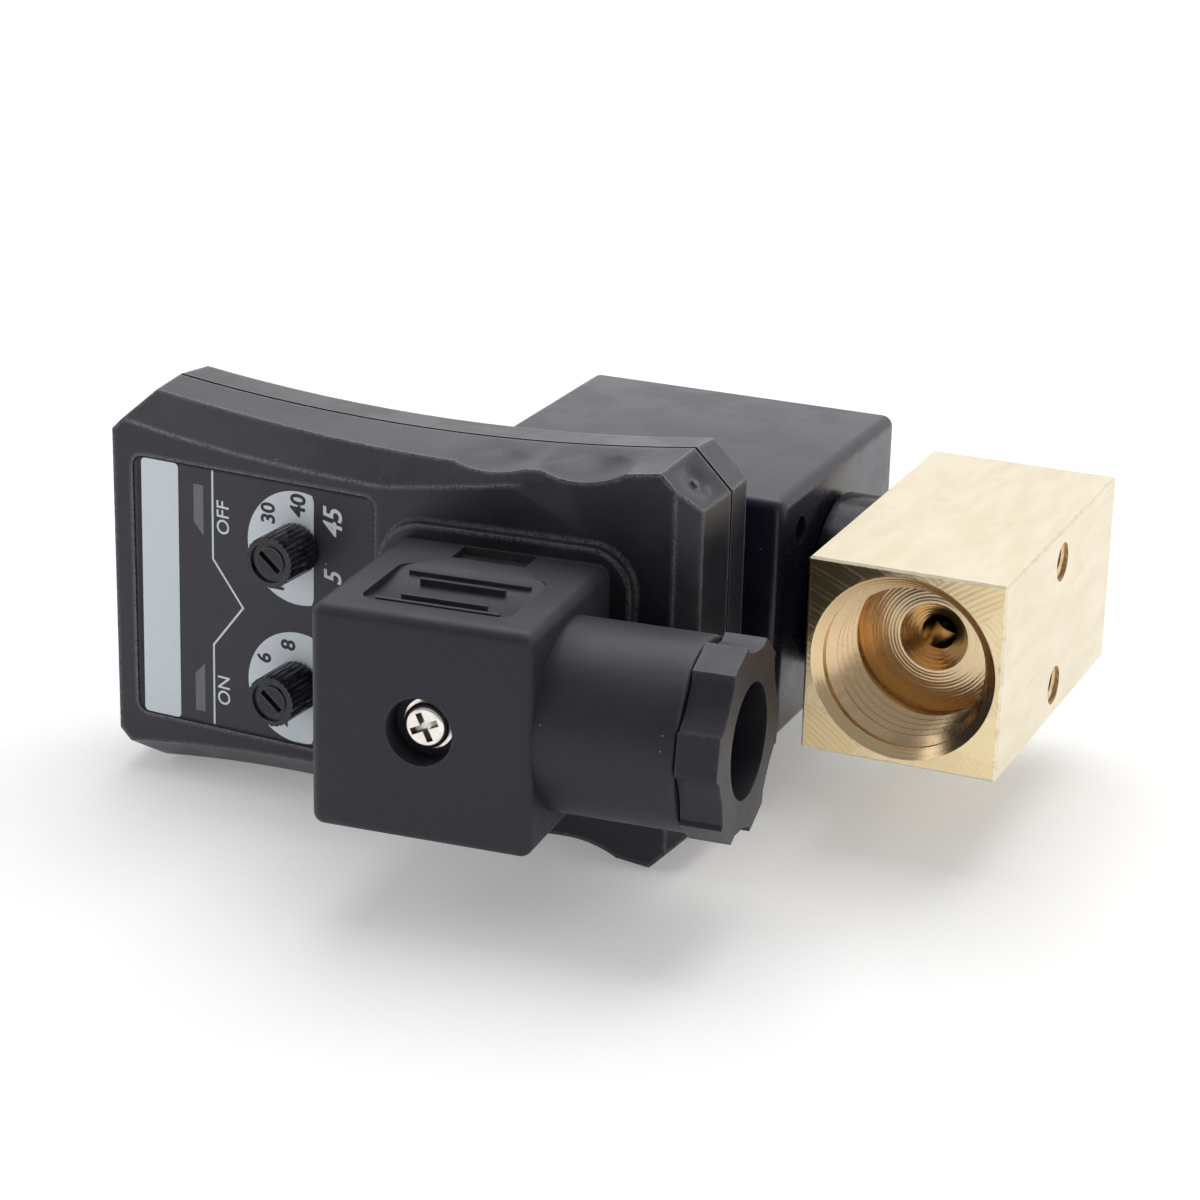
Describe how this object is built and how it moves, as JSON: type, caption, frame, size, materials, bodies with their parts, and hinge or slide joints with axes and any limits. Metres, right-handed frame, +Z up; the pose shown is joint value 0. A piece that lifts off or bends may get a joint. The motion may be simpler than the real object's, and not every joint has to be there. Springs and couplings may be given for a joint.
{
  "type": "automatic drain valve",
  "caption": "Brass solenoid drain valve with a plug-in coil, an adjustable timer housing and a cable plug with a gland.",
  "frame": {"origin": "centre of the inlet port's mouth, on the valve body's front face", "axes": "+X along the solenoid stem from the coil to the valve body, +Y along the flow from inlet to outlet, +Z up as the valve lies on its side"},
  "size_m": [0.1139, 0.0953, 0.051],
  "materials": {
    "brass": "sawn and milled bright brass",
    "tube_steel": "turned stainless steel",
    "plated_steel": "zinc plated steel",
    "nickel_screw": "nickel plated steel",
    "copper": "enamelled copper wire",
    "spring_steel": "drawn spring wire",
    "seal_rubber": "moulded nitrile rubber",
    "coil_plastic": "satin moulded resin",
    "timer_plastic": "finely textured black plastic",
    "plug_plastic": "satin black plastic",
    "block_plastic": "moulded nylon",
    "contact_metal": "tinned brass",
    "label_film": "printed film",
    "board": "solder-masked board",
    "component": "moulded component bodies",
    "knob_plastic": "glossy black moulding",
    "led_red": "tinted lens",
    "led_green": "tinted lens"
  },
  "bodies": {
    "valve": {"valve_body": "brass", "stem_collar": "tube_steel", "stem_ring": "seal_rubber", "armature_tube": "tube_steel", "fixed_core": "tube_steel", "shading_ring": "copper", "coil_nut": "plated_steel", "coil_washer": "plated_steel"},
    "coil_and_timer": {"coil_housing": "coil_plastic", "magnet_yoke": "plated_steel", "coil_bobbin": "coil_plastic", "copper_winding": "copper", "coil_pins": "contact_metal", "coil_insert": "contact_metal", "coil_seal_ring": "seal_rubber", "coil_gasket": "seal_rubber", "rear_cover": "timer_plastic", "socket_contacts": "contact_metal", "timer_screw": "plated_steel", "cover_screws": "plated_steel", "front_cover": "timer_plastic", "face_label": "label_film", "circuit_board": "board", "off_time_pot": "component", "on_time_pot": "component", "off_led": "led_red", "on_led": "led_green", "test_switch": "component", "timer_chip": "component", "film_capacitor": "component", "smoothing_capacitor": "component", "boss_insert": "contact_metal", "timer_pins": "contact_metal", "plug_gasket": "seal_rubber", "plug_housing": "plug_plastic", "terminal_block": "block_plastic", "plug_contacts": "contact_metal", "clamp_screws": "plated_steel", "plug_screw": "nickel_screw", "plug_washer": "nickel_screw", "gland_grommet": "seal_rubber", "gland_washer": "plug_plastic", "gland_nut": "plug_plastic"},
    "plunger": {"plunger": "tube_steel", "plunger_seal": "seal_rubber", "plunger_spring": "spring_steel"},
    "off_time_knob": {"off_time_knob": "knob_plastic"},
    "on_time_knob": {"on_time_knob": "knob_plastic"},
    "test_button": {"test_button": "component"}
  },
  "joints": [
    {"name": "coil_swivel", "type": "hinge", "parent": "valve", "child": "coil_and_timer", "pos_m": [-0.04075, 0.027, 0], "axis": [1, 0, 0], "range_deg": [-180, 180]},
    {"name": "plunger_slide", "type": "slide", "parent": "valve", "child": "plunger", "axis": [-1, 0, 0], "range_m": [0, 0.0018], "stiffness_N_per_m": 400, "springref_m": -0.006, "deforming": ["plunger_spring"]},
    {"name": "off_time_turn", "type": "hinge", "parent": "coil_and_timer", "child": "off_time_knob", "pos_m": [-0.07328, -0.01707, 0.0091], "axis": [-0.0541, -0.9985, 0], "range_deg": [-135, 135]},
    {"name": "on_time_turn", "type": "hinge", "parent": "coil_and_timer", "child": "on_time_knob", "pos_m": [-0.07328, -0.01707, -0.0091], "axis": [-0.0541, -0.9985, 0], "range_deg": [-135, 135]},
    {"name": "test_press", "type": "slide", "parent": "coil_and_timer", "child": "test_button", "axis": [0.0541, 0.9985, 0], "range_m": [0, 0.00025], "stiffness_N_per_m": 300, "springref_m": -0.001}
  ]
}
